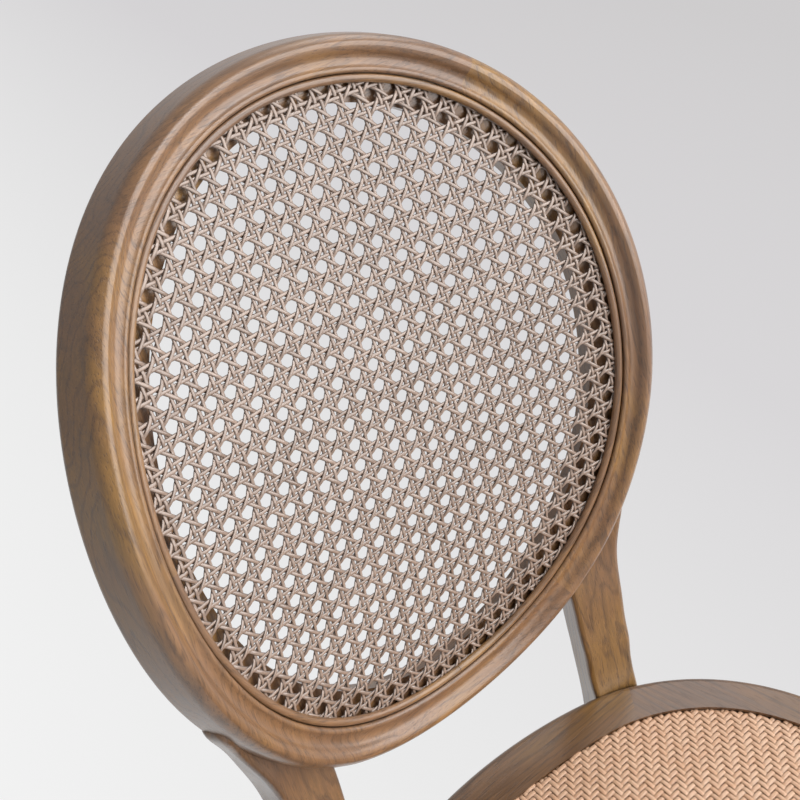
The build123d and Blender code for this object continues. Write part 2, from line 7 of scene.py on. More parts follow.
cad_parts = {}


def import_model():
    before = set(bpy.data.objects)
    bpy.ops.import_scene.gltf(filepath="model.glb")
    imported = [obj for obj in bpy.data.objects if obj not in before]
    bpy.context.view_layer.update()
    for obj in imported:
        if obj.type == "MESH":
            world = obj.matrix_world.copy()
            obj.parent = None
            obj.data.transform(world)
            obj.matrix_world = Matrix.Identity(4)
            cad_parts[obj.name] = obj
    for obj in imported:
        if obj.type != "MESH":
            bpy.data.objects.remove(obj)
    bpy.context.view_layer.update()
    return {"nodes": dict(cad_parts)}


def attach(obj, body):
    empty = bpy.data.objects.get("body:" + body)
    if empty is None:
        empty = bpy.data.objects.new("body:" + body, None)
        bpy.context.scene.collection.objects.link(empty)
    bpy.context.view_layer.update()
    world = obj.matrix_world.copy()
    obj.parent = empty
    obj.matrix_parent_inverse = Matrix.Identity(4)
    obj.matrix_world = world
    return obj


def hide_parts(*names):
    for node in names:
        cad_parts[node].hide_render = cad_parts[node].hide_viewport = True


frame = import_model()
nodes = frame["nodes"]
draw = np.random.default_rng(11)

# Dining chair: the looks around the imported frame. Metres; +Z up, the sitter faces -Y.
MM = 0.001

# The back, as in the part's source, in millimetres
BACK_LEAN = radians(15.0)
BACK_Y = 201.9
BACK_Z = 773.3
BEND_RADIUS = 356.0
OVAL_HALF_WIDTH = 178.5
OVAL_HALF_HEIGHT = 212.7
OVAL_EGG = 0.0293
OVAL_FULLNESS = 0.0174
CANE_FRONT_W = 3.2
CANE_BOW = 20.7
CANE_THICKNESS = 1.4
CANE_EDGE_U = -1.2

# The cane's lattice of holes: pitch, turn and the place of one hole in the back's plane. Strand sizes are in
# millimetres; runs, steps, wobble and offset are in pitches
CANE_PITCH = 14.0
CANE_TURN = -0.0487
CANE_HOLE = (-5.31, 9.13)
PAIR_HALF_GAP = 1.8
CANE_HALF_WIDTH = 1.24
CANE_HALF_THICKNESS = 0.46
PAIR_LIFT = 0.5
DIAGONAL_LIFT = 0.9
CANE_REACH = 24
PAIR_STEP = 0.1
DIAGONAL_STEP = 1 / 14
FEWEST_STEPS = 8
CANE_WOBBLE = 0.012
CANE_OFFSET = 0.006
CANE_LIFT_SPREAD = 0.03

# The seat, as in the part's source, in millimetres
SEAT_REAR_Y = 142.4
SEAT_MIDDLE = (0.0, SEAT_REAR_Y - 217.7)
RIM_INNER = ((480.0, 139.0, 900.0, 72.0), (10.8, 82.0, 91.0, 163.0), SEAT_REAR_Y - 37.5)
DOME_RADIUS = 4000.0
WEAVE_MIDDLE_Z = 468.4
PAD_TOP_Z = 466.3
PAD_BOTTOM_Z = 451.3

# Its strands: half width, half thickness and lift of each direction, and ends that turn down at the rim
WEAVE_PITCH = 4.0
UPRIGHT_REED = (2.04, 0.6, 0.62)
LEVEL_REED = (1.96, 0.52, 0.5)
UPRIGHT_PLACES = range(-60, 61)
LEVEL_PLACES = range(-80, 40)
WEAVE_EDGE = 0.2
WEAVE_END_GAP = 0.3
WEAVE_DROP = 0.7
WEAVE_DROP_LENGTH = 1.6
WEAVE_WOBBLE = 0.1
WEAVE_OFFSET = 0.05
SHORTEST_REED = 8.0
LEAST_REACH = 5.0
SIDE_MARGIN = 3.0

# The pad's rings as shares of its outline: its side with heights over the underside, its rolled edge with
# drops below the crown, and its crown
PAD_INSET = 2.0
PAD_SIDE = ((0.4, 0.0), (0.97, 0.0), (0.992, 1.2), (1.0, 4.5), (0.998, 7.5))
PAD_EDGE = ((0.988, 1.6), (0.965, 0.4))
PAD_CROWN = (0.9, 0.8, 0.65, 0.5, 0.35, 0.2, 0.08)
PAD_CLEARANCE = 0.4
QUILT_HEIGHT = 0.35
QUILT_LENGTH = 9.0

# Half-round strip: across and up, in half widths and half thicknesses
STRIP = np.array(
    [(-0.86, -1.0), (-1.0, -0.2), (-0.66, 0.66), (0.0, 1.0), (0.66, 0.66), (1.0, -0.2), (0.86, -1.0)]
)


def unit(vectors):
    return vectors / np.linalg.norm(vectors, axis=-1, keepdims=True)


def back_to_world(x, y, z):
    """Points of the back's leaning frame, in millimetres, as metres in the row frame."""
    c, s = cos(BACK_LEAN), sin(BACK_LEAN)
    return np.stack([x, BACK_Y + y * c + z * s, BACK_Z - y * s + z * c], axis=-1) * MM


# ---------------------------------------------------------------- materials

def colour(red, green, blue):
    """A colour written as 0-255 screen values, as linear values."""
    shares = (red / 255, green / 255, blue / 255)
    return (*(v / 12.92 if v <= 0.04045 else ((v + 0.055) / 1.055) ** 2.4 for v in shares), 1.0)


def new_material(name):
    made = bpy.data.materials.new(name)
    made.use_nodes = True
    made.node_tree.nodes.clear()
    return made, made.node_tree


def add(tree, kind, inputs=None, **settings):
    """Adds a shader node; each input is another node's socket or a value."""
    node = tree.nodes.new("ShaderNode" + kind)
    for key, value in settings.items():
        setattr(node, key, value)
    for key, value in (inputs or {}).items():
        if isinstance(value, bpy.types.NodeSocket):
            tree.links.new(value, node.inputs[key])
        else:
            node.inputs[key].default_value = value
    return node


def ramp(tree, factor, *stops):
    """Colour ramp through (position, colour) stops."""
    node = add(tree, "ValToRGB", {"Fac": factor})
    elements = node.color_ramp.elements
    while len(elements) < len(stops):
        elements.new(0.5)
    for element, (place, value) in zip(elements, stops):
        element.position = place
        element.color = value if len(value) == 4 else (value[0],) * 3 + (1.0,)
    return node.outputs["Color"]


def noise(tree, vector, scale, detail, roughness):
    inputs = {"Vector": vector, "Scale": scale, "Detail": detail, "Roughness": roughness}
    return add(tree, "TexNoise", inputs).outputs["Fac"]


def grain_noise(tree, grained, scale, detail, roughness):
    """Noise drawn out along the grain: scale is (along, across), per metre."""
    along, across = scale
    stretched = add(tree, "Mapping", {"Vector": grained, "Scale": (along, across, across)}).outputs["Vector"]
    return noise(tree, stretched, 1.0, detail, roughness)


def mix(tree, kind, factor, one, two):
    inputs = {"Fac": factor, "Color1": one, "Color2": two}
    return add(tree, "MixRGB", inputs, blend_type=kind).outputs["Color"]


def sums(tree, operation, one, two=0.0, three=0.0):
    """One step of arithmetic on one, two or three values."""
    node = add(tree, "Math", {0: one, 1: two}, operation=operation)
    if operation == "MULTIPLY_ADD":
        node.inputs[2].default_value = three
    return node.outputs[0]


def surface(tree, base, roughness, height, bump, strength=1.0, **uniform):
    """The shader and output: uniform values go straight on the shader's sockets."""
    normal = add(tree, "Bump", {"Height": height, "Distance": bump, "Strength": strength}).outputs["Normal"]
    shader = add(tree, "BsdfPrincipled", {"Base Color": base, "Roughness": roughness, "Normal": normal})
    for key, value in uniform.items():
        shader.inputs[key.replace("_", " ")].default_value = value
    add(tree, "OutputMaterial", {"Surface": shader.outputs[0]})


def along_grain(tree, grain, shift):
    """Object coordinates turned so that local X runs along the grain, and local Z is square to the board."""
    grain = Vector(grain).normalized()
    side = Vector((0, 0, 1)) if abs(grain.z) < 0.9 else Vector((1, 0, 0))
    side = (side - grain * side.dot(grain)).normalized()
    turn = Matrix((grain, side, grain.cross(side))).to_euler()
    place = add(tree, "TexCoord").outputs["Object"]
    return add(tree, "Mapping", {"Vector": place, "Rotation": turn, "Location": shift}).outputs["Vector"]


# Oak: its colours
OAK_BROWN = colour(142, 103, 66)
OAK_GOLD = colour(158, 117, 62)
OAK_GREY = colour(128, 93, 64)
OAK_DARK = colour(98, 68, 42)
OAK_PORE = colour(60, 40, 28)
# The ledge's painted shade: the front of the ledge behind the cane is made darker, a little pinker
LEDGE_PAINTED_SHADE = colour(208, 192, 186)

# Oak: the scale of each feature along the grain and across it, per metre
WANDER_SCALE = (5.0, 26.0)
BLOTCH_SCALE = (7.0, 16.0)
STREAK_SCALE = (16.0, 300.0)
FIBRE_SCALE = (60.0, 1900.0)
PORE_SCALE = (70.0, 1250.0)

# Oak: growth rings per metre and how far they wander, how strongly each feature shows, and depths in metres,
# among them the reach of the painted shade in its recesses
RINGS_DEEP = 150.0
RINGS_ACROSS = 70.0
RINGS_WANDER = 9.0
RING_DARKNESS = 0.45
STREAK_SHARE = 0.5
FIBRE_SHARE = 0.35
PORE_SHARE = 0.4
PORES_IN_RINGS = 0.07
PORE_DEPTH = 0.0002
PAINTED_SHADE_REACH = 0.003
LEDGE_FRONT, LEDGE_BACK = 0.004, 0.008
LEDGE_FACING = 0.7


def oak(name, grain=None, shift=(0.0, 0.0, 0.0), shade=1.0, ledge=False):
    """Stained open-grain oak: growth figure, pores and fibres run along the grain, or round the oval back;
    painted shade darkens it in recesses, on some whole boards and on the ledge's front.
    """
    made, tree = new_material(name)
    grained = along_grain(tree, grain, shift) if grain else ring_grain(tree)
    wander = grain_noise(tree, grained, WANDER_SCALE, 2.0, 0.5)
    parts = add(tree, "SeparateXYZ", {"Vector": grained})
    depth = sums(tree, "MULTIPLY", parts.outputs["Z"], RINGS_DEEP)
    across = sums(tree, "MULTIPLY", parts.outputs["Y"], RINGS_ACROSS)
    phase = sums(tree, "ADD", sums(tree, "ADD", depth, across), sums(tree, "MULTIPLY", wander, RINGS_WANDER))
    figure = sums(tree, "MULTIPLY_ADD", sums(tree, "SINE", sums(tree, "MULTIPLY", phase, 2 * pi)), 0.5, 0.5)
    blotch = grain_noise(tree, grained, BLOTCH_SCALE, 3.0, 0.55)
    fibre = grain_noise(tree, grained, FIBRE_SCALE, 2.0, 0.6)
    streak = grain_noise(tree, grained, STREAK_SCALE, 3.0, 0.6)
    pore = grain_noise(tree, grained, PORE_SCALE, 1.0, 0.5)
    tone = ramp(tree, blotch, (0.34, OAK_GREY), (0.5, OAK_BROWN), (0.68, OAK_GOLD))
    tone = mix(tree, "MIX", ramp(tree, figure, (0.8, (0.0,)), (1.0, (RING_DARKNESS,))), tone, OAK_DARK)
    tone = mix(tree, "MULTIPLY", STREAK_SHARE, tone, ramp(tree, streak, (0.3, (0.55,)), (0.62, (1.3,))))
    tone = mix(tree, "MULTIPLY", FIBRE_SHARE, tone, ramp(tree, fibre, (0.3, (0.6,)), (0.7, (1.3,))))
    porous = sums(tree, "ADD", pore, sums(tree, "MULTIPLY", figure, PORES_IN_RINGS))
    opened = ramp(tree, porous, (0.62, (0.0,)), (0.7, (1.0,)))
    tone = mix(tree, "MIX", sums(tree, "MULTIPLY", opened, PORE_SHARE), tone, OAK_PORE)
    if ledge:
        # Painted shade on the ledge's front, seen through the cane's holes: darker than the rest of the oak
        tone = mix(tree, "MIX", ledge_painted_shade_share(tree), tone, mix(tree, "MULTIPLY", 0.5, LEDGE_PAINTED_SHADE, tone))
    # Partly a board's own tone and partly painted shade: the whole colour is darkened by a share
    tone = mix(tree, "MULTIPLY", 1.0, tone, (shade, shade, shade, 1.0))
    # Painted shade: ambient occlusion darkens the colour in grooves and recesses, where shade falls
    painted_recess_shade = add(tree, "AmbientOcclusion", {"Distance": PAINTED_SHADE_REACH}, samples=6).outputs["AO"]
    tone = mix(tree, "MULTIPLY", 1.0, tone, ramp(tree, painted_recess_shade, (0.25, (0.35,)), (0.7, (1.0,))))
    roughness = ramp(tree, streak, (0.3, (0.34,)), (0.7, (0.46,)))
    height = sums(tree, "SUBTRACT", sums(tree, "MULTIPLY", fibre, 0.25), opened)
    surface(tree, tone, roughness, height, PORE_DEPTH, 0.5,
            IOR=1.5, Coat_Weight=0.9, Coat_Roughness=0.27, Coat_IOR=1.5)
    return made


def ring_grain(tree):
    """Coordinates that run round the oval back: X along it, Y out from its middle, Z behind its bent face."""
    place = add(tree, "TexCoord").outputs["Object"]
    turned = add(tree, "Mapping", {"Vector": place, "Rotation": (BACK_LEAN, 0.0, 0.0)}).outputs["Vector"]
    middle = (0.0, 0.0, BACK_Z * MM * cos(BACK_LEAN) + BACK_Y * MM * sin(BACK_LEAN))
    back = add(tree, "VectorMath", {0: turned, 1: middle}, operation="SUBTRACT").outputs[0]
    parts = add(tree, "SeparateXYZ", {"Vector": back})
    x, z = parts.outputs["X"], parts.outputs["Z"]
    angle = sums(tree, "ARCTAN2", z, x)
    squared = sums(tree, "MULTIPLY", x, x)
    reach = sums(tree, "SQRT", sums(tree, "ADD", squared, sums(tree, "MULTIPLY", z, z)))
    length = sums(tree, "MULTIPLY", angle, OVAL_HALF_WIDTH * MM)
    bent = sums(tree, "MULTIPLY", squared, 1 / (2 * BEND_RADIUS * MM))
    depth = sums(tree, "ADD", bent, parts.outputs["Y"])
    return add(tree, "CombineXYZ", {"X": length, "Y": reach, "Z": depth}).outputs["Vector"]


def ledge_painted_shade_share(tree):
    """Where the ledge's front gets its painted shade: 1 on the front of the ledge that backs the cane, 0
    elsewhere.
    """
    depth = add(tree, "SeparateXYZ", {"Vector": ring_grain(tree)}).outputs["Z"]
    behind = sums(tree, "GREATER_THAN", depth, LEDGE_FRONT)
    within = sums(tree, "MULTIPLY", behind, sums(tree, "LESS_THAN", depth, LEDGE_BACK))
    normal = add(tree, "NewGeometry").outputs["Normal"]
    front = (0.0, -cos(BACK_LEAN), sin(BACK_LEAN))
    facing = add(tree, "VectorMath", {0: normal, 1: front}, operation="DOT_PRODUCT").outputs["Value"]
    return sums(tree, "MULTIPLY", within, sums(tree, "GREATER_THAN", facing, LEDGE_FACING))


# Split strands: how much the fibre lines and the tone change along, across and from strand to strand
FIBRE_SPREAD = (0.02, 2.2, 7.3)
TONE_SPREAD = (0.016, 0.0, 3.7)
# How strongly painted shade darkens the strands' edges
EDGE_PAINTED_SHADE = 0.8
STRAND_FIBRE_DEPTH = 0.00015


def strand_material(name, pale, deep, dark, gloss, coat, fibres=1.0):
    """Split cane or rattan: tone by strand, fibre lines along it, and painted shade that darkens its edges.
    """
    made, tree = new_material(name)
    lay = add(tree, "Attribute", attribute_name="lay").outputs["Vector"]
    parts = add(tree, "SeparateXYZ", {"Vector": lay})
    along, across, serial = parts.outputs["X"], parts.outputs["Y"], parts.outputs["Z"]

    def spread(scale_along, scale_across, scale_serial):
        scaled = {
            "X": sums(tree, "MULTIPLY", along, scale_along),
            "Y": sums(tree, "MULTIPLY", across, scale_across),
            "Z": sums(tree, "MULTIPLY", serial, scale_serial),
        }
        return add(tree, "CombineXYZ", scaled).outputs["Vector"]

    line = noise(tree, spread(*FIBRE_SPREAD), 1.6, 3.0, 0.6)
    patch = noise(tree, spread(*TONE_SPREAD), 1.0, 2.0, 0.5)
    tone = ramp(tree, patch, (0.3, deep), (0.62, pale))
    tone = mix(tree, "MULTIPLY", 0.55 * fibres, tone, ramp(tree, line, (0.3, (0.55,)), (0.65, (1.2,))))
    # Painted shade: each strand's edges turn towards the dark colour, standing in for the shade between
    # strands
    edge = sums(tree, "POWER", sums(tree, "ABSOLUTE", across), 4.0)
    tone = mix(tree, "MIX", sums(tree, "MULTIPLY", edge, EDGE_PAINTED_SHADE), tone, dark)
    roughness = ramp(tree, line, (0.3, (gloss + 0.12,)), (0.7, (gloss,)))
    surface(tree, tone, roughness, line, STRAND_FIBRE_DEPTH, 0.5,
            IOR=1.5, Coat_Weight=coat, Coat_Roughness=0.16)
    return made


def fine_noise_material(name, one, two, scale, rough, bump, metallic=0.0):
    """A small-scale mottle for the hidden board, the dowels, the fasteners and the glides."""
    made, tree = new_material(name)
    place = add(tree, "TexCoord").outputs["Object"]
    grain = noise(tree, place, scale, 4.0, 0.6)
    roughness = ramp(tree, grain, (0.2, (rough,)), (0.8, (rough + 0.15,)))
    surface(tree, ramp(tree, grain, (0.3, one), (0.7, two)), roughness, grain, bump, 0.7, Metallic=metallic)
    return made


def cloth_material(name, one, two, threads):
    """Plain lining cloth: crossed threads."""
    made, tree = new_material(name)
    place = add(tree, "TexCoord").outputs["Object"]
    inputs = {"Vector": place, "Scale": threads, "Distortion": 1.0, "Detail Scale": 3.0}
    warp, weft = (add(tree, "TexWave", inputs, bands_direction=way).outputs["Fac"] for way in ("X", "Y"))
    cross = sums(tree, "MULTIPLY", warp, weft)
    surface(tree, ramp(tree, cross, (0.0, one), (0.8, two)), 0.9, cross, 0.0003)
    return made


# ---------------------------------------------------------------- strand pieces

def sweep(path, normal, half_width, half_thickness, serial):
    """Rings of a half-round strip along a path, with its lay: length along, place across, serial number."""
    along = unit(np.gradient(path, axis=0))
    side = unit(np.cross(along, normal))
    up = np.cross(side, along)
    across = side[:, None] * (STRIP[:, :1] * half_width)
    rings = path[:, None] + across + up[:, None] * (STRIP[:, 1:] * half_thickness)
    run = np.concatenate([[0.0], np.cumsum(np.linalg.norm(np.diff(path, axis=0), axis=1))])
    lay = np.empty(rings.shape)
    lay[:, :, 0] = run[:, None]
    lay[:, :, 1] = STRIP[:, 0]
    lay[:, :, 2] = serial
    return rings, lay


def strip_faces(count, start):
    """Quads between the rings of one strip, and its two end faces."""
    k = len(STRIP)
    i, j = np.meshgrid(np.arange(count - 1), np.arange(k), indexing="ij")
    quads = np.stack([i * k + j, i * k + (j + 1) % k, (i + 1) * k + (j + 1) % k, (i + 1) * k + j], axis=-1)
    first = list(range(start + k - 1, start - 1, -1))
    last = list(range(start + (count - 1) * k, start + count * k))
    return (quads.reshape(-1, 4) + start).tolist() + [first, last]


def strand_piece(name, strands, material):
    """One mesh of many strips; each strand is (path, normals, half width, half thickness), in metres."""
    points, lays, faces, start = [], [], [], 0
    for serial, (path, normal, half_width, half_thickness) in enumerate(strands):
        rings, lay = sweep(path, normal, half_width, half_thickness, serial + 1.0)
        faces += strip_faces(len(path), start)
        points.append(rings.reshape(-1, 3))
        lays.append(lay.reshape(-1, 3))
        start += len(path) * len(STRIP)
    mesh = bpy.data.meshes.new(name)
    mesh.from_pydata(np.concatenate(points).tolist(), [], faces)
    mesh.polygons.foreach_set("use_smooth", [True] * len(mesh.polygons))
    held = mesh.attributes.new("lay", "FLOAT_VECTOR", "POINT")
    held.data.foreach_set("vector", np.concatenate(lays).ravel().astype(np.float32))
    mesh.materials.append(material)
    return linked(name, mesh)


def linked(name, mesh):
    piece = bpy.data.objects.new(name, mesh)
    bpy.context.scene.collection.objects.link(piece)
    return piece


# ---------------------------------------------------------------- cane back

def oval_outline(u, count=1440):
    """The bead groove line in the back's plane, moved outward by u."""
    turn = np.linspace(0, 2 * pi, count, endpoint=False)
    full = 1 + OVAL_FULLNESS * (1 - np.cos(4 * turn)) / 2
    x = OVAL_HALF_WIDTH * np.cos(turn) * full * (1 + OVAL_EGG * np.sin(turn))
    z = OVAL_HALF_HEIGHT * np.sin(turn) * full
    dx, dz = np.gradient(x), np.gradient(z)
    long = np.hypot(dx, dz)
    return x + u * dz / long, z - u * dx / long


def cane_middle(x, z):
    """Depth of the stretched cane's middle and its normal towards the sitter, in the back's frame."""
    side = -OVAL_HALF_WIDTH ** 2 / (2 * BEND_RADIUS) + CANE_FRONT_W + CANE_BOW
    upright = CANE_FRONT_W + CANE_BOW
    bowed = side * (x / OVAL_HALF_WIDTH) ** 2 + upright * (z / OVAL_HALF_HEIGHT) ** 2
    depth = bowed - CANE_BOW + CANE_THICKNESS / 2
    slope_x = 2 * side * x / OVAL_HALF_WIDTH ** 2
    slope_z = 2 * upright * z / OVAL_HALF_HEIGHT ** 2
    return depth, unit(np.stack([slope_x, -np.ones_like(x), slope_z], axis=-1))


def lattice(i, j):
    """Place in the back's plane of a point of the hole lattice: i to the right, j down."""
    c, s = cos(CANE_TURN), sin(CANE_TURN)
    return CANE_PITCH * (c * i + s * j) + CANE_HOLE[0], CANE_PITCH * (s * i - c * j) + CANE_HOLE[1]


def pair_wave(run):
    """Rise and fall of one strand of a pair where it passes the two strands that cross it."""
    gap = (np.mod(run, 1.0) - 0.5) * CANE_PITCH / PAIR_HALF_GAP
    return gap * np.exp((1 - gap ** 2) / 2)


def diagonal_wave(run):
    """Rise and fall of a diagonal strand, which crosses the pairs between two holes."""
    return 1.15 * np.cos(2 * pi * run) - 0.15 * np.cos(6 * pi * run)


def inside_oval(outline):
    """A measure of how far points of the back's plane lie outside an outline: negative inside."""
    angles = np.arctan2(outline[1], outline[0])
    order = np.argsort(angles)
    reach = np.hypot(*outline)

    def excess(x, z):
        return np.hypot(x, z) - np.interp(np.arctan2(z, x), angles[order], reach[order], period=2 * pi)

    return excess


def cane_strand(place, height, step, excess):
    """One strand over the oval, or None if it misses: its (i, j) and its lift are functions of its run."""
    run = np.arange(-CANE_REACH, CANE_REACH, step)
    over = excess(*lattice(*place(run)))
    within = np.flatnonzero(over < 0)
    if len(within) < FEWEST_STEPS:
        return None
    first, last = within[0], within[-1]
    enter = run[first] - step * over[first] / (over[first] - over[first - 1])
    leave = run[last] + step * over[last] / (over[last] - over[last + 1])
    run = np.concatenate([[enter], run[first + 1:last], [leave]])
    wobble = CANE_WOBBLE * np.sin(run * draw.uniform(0.5, 1.1) + draw.uniform(0, 6))
    wobble = wobble + draw.normal(0, CANE_OFFSET)
    i, j = place(run)
    # The waver runs across the strand
    x, z = lattice(i + wobble * (1 if np.ptp(i) < 1 else 0.7), j + wobble * (1 if np.ptp(j) < 1 else 0))
    depth, normal = cane_middle(x, z)
    lift = height(run) + draw.normal(0, CANE_LIFT_SPREAD)
    local = np.stack([x, depth, z], axis=-1) + normal * lift[:, None]
    path = back_to_world(local[:, 0], local[:, 1], local[:, 2])
    c, s = cos(BACK_LEAN), sin(BACK_LEAN)
    nx, ny, nz = normal[:, 0], normal[:, 1], normal[:, 2]
    turned = np.stack([nx, ny * c + nz * s, -ny * s + nz * c], axis=-1)
    width = CANE_HALF_WIDTH * draw.uniform(0.92, 1.08)
    return path, turned, width * MM, CANE_HALF_THICKNESS * MM


def cane_family(kind, excess):
    """All strands of one direction: upright, level, falling or rising to the right."""
    paired = kind in ("upright", "level")
    first_over = 1 if kind in ("upright", "falling") else -1
    strands = []
    for n in range(-CANE_REACH, CANE_REACH):
        for side in (-1, 1) if paired else (0,):
            fixed = n + 0.5 + side * PAIR_HALF_GAP / CANE_PITCH
            place = {
                "upright": lambda t: (np.full_like(t, fixed), t),
                "level": lambda t: (t, np.full_like(t, fixed)),
                "falling": lambda t: (t + fixed, t),
                "rising": lambda t: (fixed - t, t),
            }[kind]
            if paired:
                wave, lift, step = pair_wave, first_over * side * PAIR_LIFT, PAIR_STEP
            else:
                wave, lift, step = diagonal_wave, first_over * DIAGONAL_LIFT, DIAGONAL_STEP
            made = cane_strand(place, lambda t: lift * wave(t), step, excess)
            if made:
                strands.append(made)
    return strands


def cane_back():
    """The six-way cane: upright and level pairs, and one diagonal each way, up to the bead."""
    excess = inside_oval(oval_outline(CANE_EDGE_U))
    # The third colour is the painted shade on the strands' edges
    pale, deep, dark = colour(178, 154, 138), colour(138, 114, 98), colour(40, 30, 27)
    cane = strand_material("cane_strands", pale, deep, dark, gloss=0.24, coat=1.0)
    for kind in ("upright", "level", "falling", "rising"):
        piece = strand_piece("cane_" + kind, cane_family(kind, excess), cane)
        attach(piece, "root")
        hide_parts("cane_panel")


# ---------------------------------------------------------------- woven seat

def seat_outline(inset, steps=60):
    """Right half of the rim's inner outline, from the middle of its rear to the middle of its front."""
    radii, turns, rear = RIM_INNER
    turns = (0.0,) + turns + (180.0,)
    centre = np.array([0.0, rear - radii[0]])
    arcs = [(centre, radii[0])]
    for i in range(1, len(radii)):
        out = np.array([sin(radians(turns[i])), cos(radians(turns[i]))])
        centre = centre + out * (radii[i - 1] - radii[i])
        arcs.append((centre, radii[i]))
    out = np.array([sin(radians(turns[-2])), cos(radians(turns[-2]))])
    front = radii[-1] + centre[0] / out[0]
    arcs.append((centre + out * (radii[-1] - front), front))
    points = []
    for (middle, radius), first, last in zip(arcs, turns[:-1], turns[1:]):
        turn = np.radians(np.linspace(first, last, steps))
        points.append(middle + (radius - inset) * np.stack([np.sin(turn), np.cos(turn)], axis=-1))
    return np.concatenate(points)


def crown(x, y):
    """Height of the woven sheet's middle and its upward normal."""
    across, along = x - SEAT_MIDDLE[0], y - SEAT_MIDDLE[1]
    drop = (across ** 2 + along ** 2) / (2 * DOME_RADIUS)
    normal = unit(np.stack([across / DOME_RADIUS, along / DOME_RADIUS, np.ones_like(across)], axis=-1))
    return WEAVE_MIDDLE_Z - drop, normal


def float_wave(run):
    """Two-over, two-under rise of a strand whose float is centred at run 0, 4, 8 ..."""
    return np.tanh(2.0 * np.cos(pi * run / 2)) / np.tanh(2.0)


def weave_strand(first, last, fixed, centre, upright):
    """One seat strand between two places of its run, with ends that turn down at the rim."""
    step = WEAVE_PITCH / 3
    grid = np.arange(np.ceil(first / step + WEAVE_END_GAP), np.floor(last / step - WEAVE_END_GAP) + 1) * step
    run = np.concatenate([[first], grid, [last]])
    slack = WEAVE_WOBBLE * np.sin(run * draw.uniform(0.03, 0.09) + draw.uniform(0, 6))
    slack = slack + draw.normal(0, WEAVE_OFFSET)
    x, y = (fixed + slack, run) if upright else (run, fixed + slack)
    z, normal = crown(x, y)
    half_width, half_thickness, lift = UPRIGHT_REED if upright else LEVEL_REED
    end = np.clip(1 - np.minimum(run - first, last - run) / WEAVE_DROP_LENGTH, 0, 1)
    z = z + lift * float_wave(run / WEAVE_PITCH - centre) * draw.uniform(0.9, 1.1) - WEAVE_DROP * end ** 2
    path = np.stack([x, y, z], axis=-1) * MM
    return path, normal, half_width * draw.uniform(0.95, 1.03) * MM, half_thickness * MM


def woven_seat():
    """Strands over the seat's opening, from the rear and the left of the rim to the front and the right."""
    outline = seat_outline(WEAVE_EDGE)
    widest = int(np.argmax(outline[:, 0]))
    rear, front = outline[:widest + 1], outline[widest:][::-1]
    uprights, levels = [], []
    for i in UPRIGHT_PLACES:
        x = i * WEAVE_PITCH
        if abs(x) < outline[widest, 0] - SIDE_MARGIN:
            back = np.interp(abs(x), rear[:, 0], rear[:, 1])
            fore = np.interp(abs(x), front[:, 0], front[:, 1])
            if back - fore > SHORTEST_REED:
                uprights.append((x, weave_strand(fore, back, x, i - 0.5, True)))
    for j in LEVEL_PLACES:
        y = j * WEAVE_PITCH
        reach = np.interp(-y, -outline[:, 1], outline[:, 0], left=0, right=0)
        if reach > LEAST_REACH:
            levels.append((y, weave_strand(-reach, reach, y, j + 2.5, False)))
    # The third colour is the painted shade on the strands' edges
    pale, deep, dark = colour(248, 206, 172), colour(232, 182, 144), colour(104, 62, 42)
    reed = strand_material("seat_strands", pale, deep, dark, gloss=0.36, coat=0.6, fibres=0.8)
    parts = {
        "seat_uprights_left": [s for x, s in uprights if x < 0],
        "seat_uprights_right": [s for x, s in uprights if x >= 0],
        "seat_levels_front": [s for y, s in levels if y < SEAT_MIDDLE[1]],
        "seat_levels_rear": [s for y, s in levels if y >= SEAT_MIDDLE[1]],
    }
    for name, strands in parts.items():
        piece = strand_piece(name, strands, reed)
        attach(piece, "root")
        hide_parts("seat_weave")


def seat_padding():
    """The thin pad under the weave: crowned top, rolled edge, flat underside, and a dark cloth cover that is
    painted shade in the gaps of the weave.
    """
    right = seat_outline(PAD_INSET, 14)
    loop = np.concatenate([right, (right * (-1, 1))[::-1][1:-1]])
    loop = loop[np.insert(np.linalg.norm(np.diff(loop, axis=0), axis=1) > 0.01, 0, True)]
    middle = np.array(SEAT_MIDDLE)
    points, faces = [], []
    count = len(loop)
    for share, height in PAD_SIDE:
        for p in loop:
            q = middle + (p - middle) * share
            points.append((q[0], q[1], PAD_BOTTOM_Z + height))
    for share, drop in PAD_EDGE + tuple((share, 0.0) for share in PAD_CROWN):
        for p in loop:
            q = middle + (p - middle) * share
            far = float(np.sum((q - middle) ** 2)) / (2 * DOME_RADIUS)
            quilt = QUILT_HEIGHT * sin(q[0] / QUILT_LENGTH) * sin(q[1] / QUILT_LENGTH)
            points.append((q[0], q[1], PAD_TOP_Z - far - PAD_CLEARANCE + quilt - drop))
    rows = len(points) // count
    for r in range(rows - 1):
        for i in range(count):
            a, b = r * count + i, r * count + (i + 1) % count
            faces.append((a, a + count, b + count, b))
    faces.append(tuple(range(count)))
    faces.append(tuple(range((rows - 1) * count, rows * count))[::-1])
    mesh = bpy.data.meshes.new("seat_padding")
    mesh.from_pydata([tuple(v * MM for v in p) for p in points], [], faces)
    mesh.polygons.foreach_set("use_smooth", [True] * len(mesh.polygons))
    # Painted shade: the pad is real, but its cloth is dark so that the gaps between the seat's strands look
    # shaded
    mesh.materials.append(cloth_material("pad_cloth_painted_shade", colour(58, 42, 32), colour(84, 62, 46), 900.0))
    pad = linked("seat_padding", mesh)
    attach(pad, "root")
    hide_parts("seat_pad")


# ---------------------------------------------------------------- carried-over nodes

